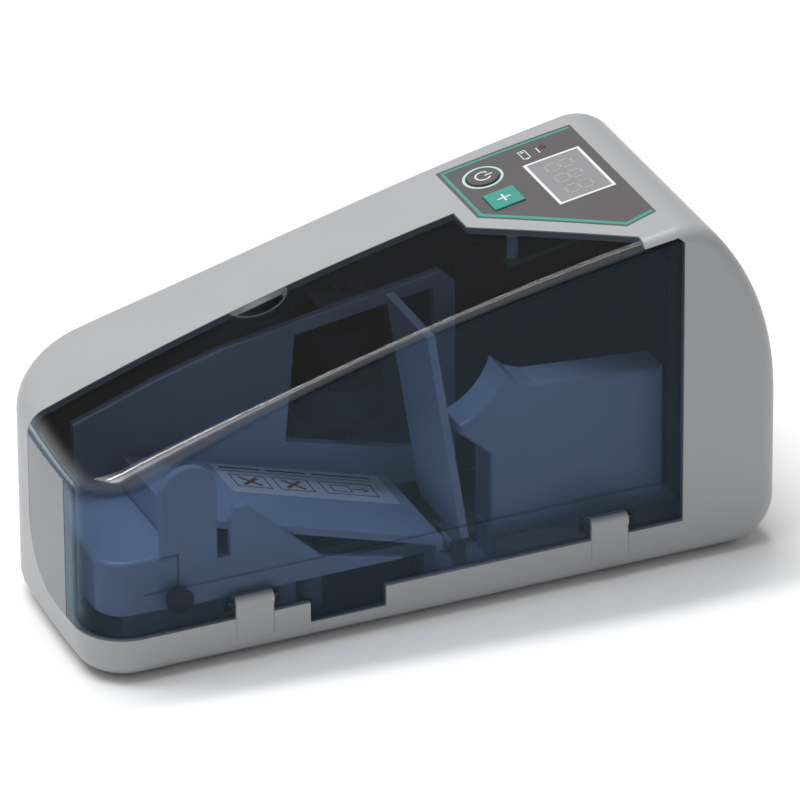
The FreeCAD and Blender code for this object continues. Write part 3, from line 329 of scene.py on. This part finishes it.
def lay_strip(form, trees, path, width, closed=False):
    """Add a thin closed strip that follows a path over the trees' surface."""
    points = [Vector(point) for point in path]
    count = len(points)
    sides = []
    for index, point in enumerate(points):
        before = points[index - 1] if index or closed else None
        after = points[(index + 1) % count] if index < count - 1 or closed else None
        ways = [(point - before).normalized()] if before else []
        ways += [(after - point).normalized()] if after else []
        way = sum(ways, Vector((0.0, 0.0))).normalized()
        across = Vector((-way.y, way.x))
        reach = width / 2 / max(0.35, across.dot(Vector((-ways[0].y, ways[0].x))))
        sides.append((point + across * reach, point - across * reach))
    if closed:
        sides.append(sides[0])
    rows = []
    for first, second in zip(sides, sides[1:]):
        length = ((first[0] + first[1]) / 2 - (second[0] + second[1]) / 2).length
        steps = max(1, math.ceil(length / INK_STEP))
        for step in range(steps):
            rows.append([a.lerp(b, step / steps) for a, b in zip(first, second)])
    if not closed:
        rows.append(list(sides[-1]))
    cells = max(1, math.ceil(width / (2 * INK_STEP)))
    grid = []
    for left, right in rows:
        row = []
        for cell in range(cells + 1):
            spot = left.lerp(right, cell / cells)
            z = level_at(trees, spot.x, spot.y)
            if z is None:
                return
            row.append((form.verts.new((spot.x, spot.y, z + INK_LIFT)),
                        form.verts.new((spot.x, spot.y, z - INK_SINK))))
        grid.append(row)
    total = len(grid)
    for index in range(total if closed else total - 1):
        here, there = grid[index], grid[(index + 1) % total]
        for cell in range(cells):
            form.faces.new((here[cell][0], here[cell + 1][0], there[cell + 1][0], there[cell][0]))
            form.faces.new((here[cell][1], there[cell][1], there[cell + 1][1], here[cell + 1][1]))
        form.faces.new((here[0][0], there[0][0], there[0][1], here[0][1]))
        form.faces.new((here[-1][0], here[-1][1], there[-1][1], there[-1][0]))
    if not closed:
        for row in (grid[0], grid[-1]):
            for cell in range(cells):
                form.faces.new((row[cell][0], row[cell][1], row[cell + 1][1], row[cell + 1][0]))


def straight(u, v):
    """Marks given by their own place on the machine."""
    return u * MM, v * MM


def ink(name, node, strokes, finish, body, place=straight):
    """One printed piece from strokes of (path, width, closed) in millimetres."""
    trees = surface_of(node)
    form = bmesh.new()
    for path, width, closed in strokes:
        lay_strip(form, trees, [place(u, v) for u, v in path], width * MM, closed)
    bmesh.ops.recalc_face_normals(form, faces=form.faces)
    mesh = bpy.data.meshes.new(name)
    form.to_mesh(mesh)
    form.free()
    mesh.materials.append(finish)
    piece = bpy.data.objects.new(name, mesh)
    bpy.context.scene.collection.objects.link(piece)
    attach(piece, body)
    return piece


def arc(centre, radius, start, end, steps=28):
    return [(centre[0] + radius * math.cos(math.radians(start + (end - start) * k / steps)),
             centre[1] + radius * math.sin(math.radians(start + (end - start) * k / steps)))
            for k in range(steps + 1)]


def ring(centre, radius, steps=48):
    return arc(centre, radius, 0.0, 360.0, steps)[:-1]


def turned(x, y):
    """Marks on the panel read towards -Y, with their tops towards +X."""
    return lambda u, v: ((x + v) * MM, (y - u) * MM)


def upright(x, y):
    """Marks on the label read towards +X, with their tops towards +Y."""
    return lambda u, v: ((x + u) * MM, (y + v) * MM)


def centre_of(node):
    low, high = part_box(node)
    return (low[0] + high[0]) / 2 / MM, (low[1] + high[1]) / 2 / MM


TEAL = plastic("ink_teal", (0.06, 0.28, 0.24), 0.4, 0.08)
PALE = plastic("ink_pale", (0.62, 0.66, 0.66), 0.45, 0.08)
MINT = plastic("ink_mint", (0.42, 0.62, 0.60), 0.4, 0.08)
GREY = plastic("ink_grey", (0.31, 0.30, 0.30), 0.35, 0.08)
BLACK = plastic("ink_black", (0.02, 0.02, 0.022), 0.5, 0.08)
RED = plastic("ink_red", (0.28, 0.04, 0.03), 0.5, 0.08)

panel_low, panel_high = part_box("control_overlay")
LEFT, FRONT = panel_low[0] / MM, panel_low[1] / MM
RIGHT, REAR = panel_high[0] / MM, panel_high[1] / MM
EDGE = 1.5
ink("panel_line", "control_overlay",
    [([(RIGHT - 1.0, REAR - EDGE), (LEFT + EDGE, REAR - EDGE), (LEFT + EDGE, 4.4)], 0.95, False)],
    TEAL, "body")
ink("panel_band", "control_overlay",
    [([(LEFT + EDGE, 4.4), (LEFT + EDGE, 3.2), (67.1, FRONT + 1.6), (RIGHT - 0.8, FRONT + 3.7)],
      1.35, False)], TEAL, "body")
START = centre_of("start_button")
ADD = centre_of("add_button")
BATTERY_SIGN, CAPTION = (58.7, 26.2), (63.0, 26.2)
ink("start_ring", "control_overlay", [(ring(START, 5.9), 0.8, True)], MINT, "body")
ink("start_sign", "start_button",
    [(arc((0, 0), 2.3, 125.0, 415.0), 0.55, False), ([(0, 0.6), (0, 3.1)], 0.55, False)],
    PALE, "start_key", turned(*START))
ink("add_sign", "add_button",
    [([(-2.1, 0), (2.1, 0)], 0.6, False), ([(0, 0.3), (0, 2.1)], 0.6, False),
     ([(0, -0.3), (0, -2.1)], 0.6, False)],
    PALE, "add_key", turned(*ADD))
ink("battery_sign", "control_overlay",
    [([(-2.6, -1.1), (2.2, -1.1), (2.2, 1.1), (-2.6, 1.1)], 0.3, True),
     ([(2.62, -0.5), (2.62, 0.5)], 0.4, False), ([(-1.7, -0.45), (-1.7, 0.45)], 0.7, False)],
    PALE, "body", turned(*BATTERY_SIGN))
ink("panel_marks", "control_overlay",
    [([(-2.4, 1.4), (2.4, 1.4)], 0.35, False), ([(-1.7, 0.2), (1.7, 0.2)], 0.35, False)],
    PALE, "body", turned(*CAPTION))

SEGMENTS = (((-1.5, 2.9), (1.5, 2.9)), ((-1.5, 0.0), (1.5, 0.0)), ((-1.5, -2.9), (1.5, -2.9)),
            ((-1.9, 0.4), (-1.9, 2.6)), ((1.9, 0.4), (1.9, 2.6)), ((-1.9, -2.6), (-1.9, -0.4)),
            ((1.9, -2.6), (1.9, -0.4)))
DIGIT_SHIFTS, DIGIT_WIDEN, DIGIT_RAISE, SEGMENT_WIDTH = (-7.4, 0.0, 7.4), 1.15, 1.45, 0.95
GLASS = centre_of("display_lens")
for number, shift in enumerate(DIGIT_SHIFTS, 1):
    strokes = []
    for segment in SEGMENTS:
        path = [(DIGIT_WIDEN * u + shift, DIGIT_RAISE * v) for u, v in segment]
        strokes.append((path, SEGMENT_WIDTH, False))
    ink("digit_%d" % number, "display_lens", strokes, GREY, "body", turned(*GLASS))

CROSS = [([(-3.0, -2.7), (3.0, 2.7)], 1.2, False), ([(-3.0, 2.7), (-0.45, 0.4)], 1.2, False),
         ([(0.45, -0.4), (3.0, -2.7)], 1.2, False)]


def cross_at(du, dv):
    return [([(u + du, v + dv) for u, v in path], width, closed) for path, width, closed in CROSS]


LABEL = "instruction_label"
LABEL_PLACE = upright(-27.5, -4.2)
ink("label_rules", LABEL,
    [([(-25.5, 7.4), (-12.0, 7.4)], 0.9, False), ([(-10.0, 7.4), (3.0, 7.4)], 0.9, False),
     ([(5.0, 7.4), (24.0, 7.4)], 0.9, False), ([(-25.5, 5.3), (24.0, 5.3)], 0.3, False)],
    BLACK, "body", LABEL_PLACE)
ink("label_boxes", LABEL,
    [([(-24.0, -5.4), (-13.0, -5.4), (-13.0, 2.6), (-24.0, 2.6)], 0.35, True),
     ([(-10.0, -5.4), (1.0, -5.4), (1.0, 2.6), (-10.0, 2.6)], 0.35, True),
     ([(5.0, -5.4), (22.0, -5.4), (22.0, 2.6), (5.0, 2.6)], 0.35, True),
     ([(8.0, -3.4), (14.0, -3.4), (14.0, 0.6), (8.0, 0.6)], 0.35, True)],
    BLACK, "body", LABEL_PLACE)
ink("label_crosses", LABEL, cross_at(-18.5, -1.4) + cross_at(-4.5, -1.4),
    RED, "body", LABEL_PLACE)
ink("label_arrow", LABEL,
    [([(14.8, -1.4), (18.4, -1.4)], 0.5, False),
     ([(18.0, -0.2), (19.9, -1.4), (18.0, -2.6)], 0.5, False)],
    BLACK, "body", LABEL_PLACE)


# ---------------------------------------------------------------- stage
FLOOR_HALF, WORLD_STRENGTH = 3.0, 0.34


def make_stage():
    mesh = bpy.data.meshes.new("floor")
    mesh.from_pydata([(-FLOOR_HALF, -FLOOR_HALF, 0.0), (FLOOR_HALF, -FLOOR_HALF, 0.0),
                      (FLOOR_HALF, FLOOR_HALF, 0.0), (-FLOOR_HALF, FLOOR_HALF, 0.0)],
                     [], [(0, 1, 2, 3)])
    floor = bpy.data.objects.new("floor", mesh)
    bpy.context.scene.collection.objects.link(floor)
    paint = Paint("floor_paper")
    drift = paint.noise(3.0, 2.0)
    paint.principled(Base_Color=paint.tint(drift, (0.92, 0.92, 0.92), (0.95, 0.95, 0.95)),
                     Roughness=0.9)
    mesh.materials.append(paint.material)
    world = bpy.data.worlds.new("world")
    bpy.context.scene.world = world
    world.use_nodes = True
    world.node_tree.nodes["Background"].inputs["Color"].default_value = (1, 1, 1, 1)
    world.node_tree.nodes["Background"].inputs["Strength"].default_value = WORLD_STRENGTH


def lamp(name, place, aim, size, power):
    """An area light whose first size runs along X."""
    data = bpy.data.lights.new(name, "AREA")
    data.shape = "RECTANGLE"
    data.size, data.size_y = size
    data.energy = power
    light = bpy.data.objects.new(name, data)
    bpy.context.scene.collection.objects.link(light)
    back = (Vector(place) - Vector(aim)).normalized()
    along = (Vector((1.0, 0.0, 0.0)) - back * back.x).normalized()
    light.matrix_world = Matrix.Translation(place) @ Matrix(
        (along, back.cross(along), back)).transposed().to_4x4()


make_camera()
make_stage()
LIT_POINT = (0.0, 0.0, 0.05)
lamp("key_light", (-0.5, 0.3, 2.2), LIT_POINT, (2.0, 2.0), 33)
lamp("strip_light", (-0.30, 0.38, 1.85), LIT_POINT, (1.7, 0.16), 20)

bpy.context.scene.view_settings.view_transform = "Standard"
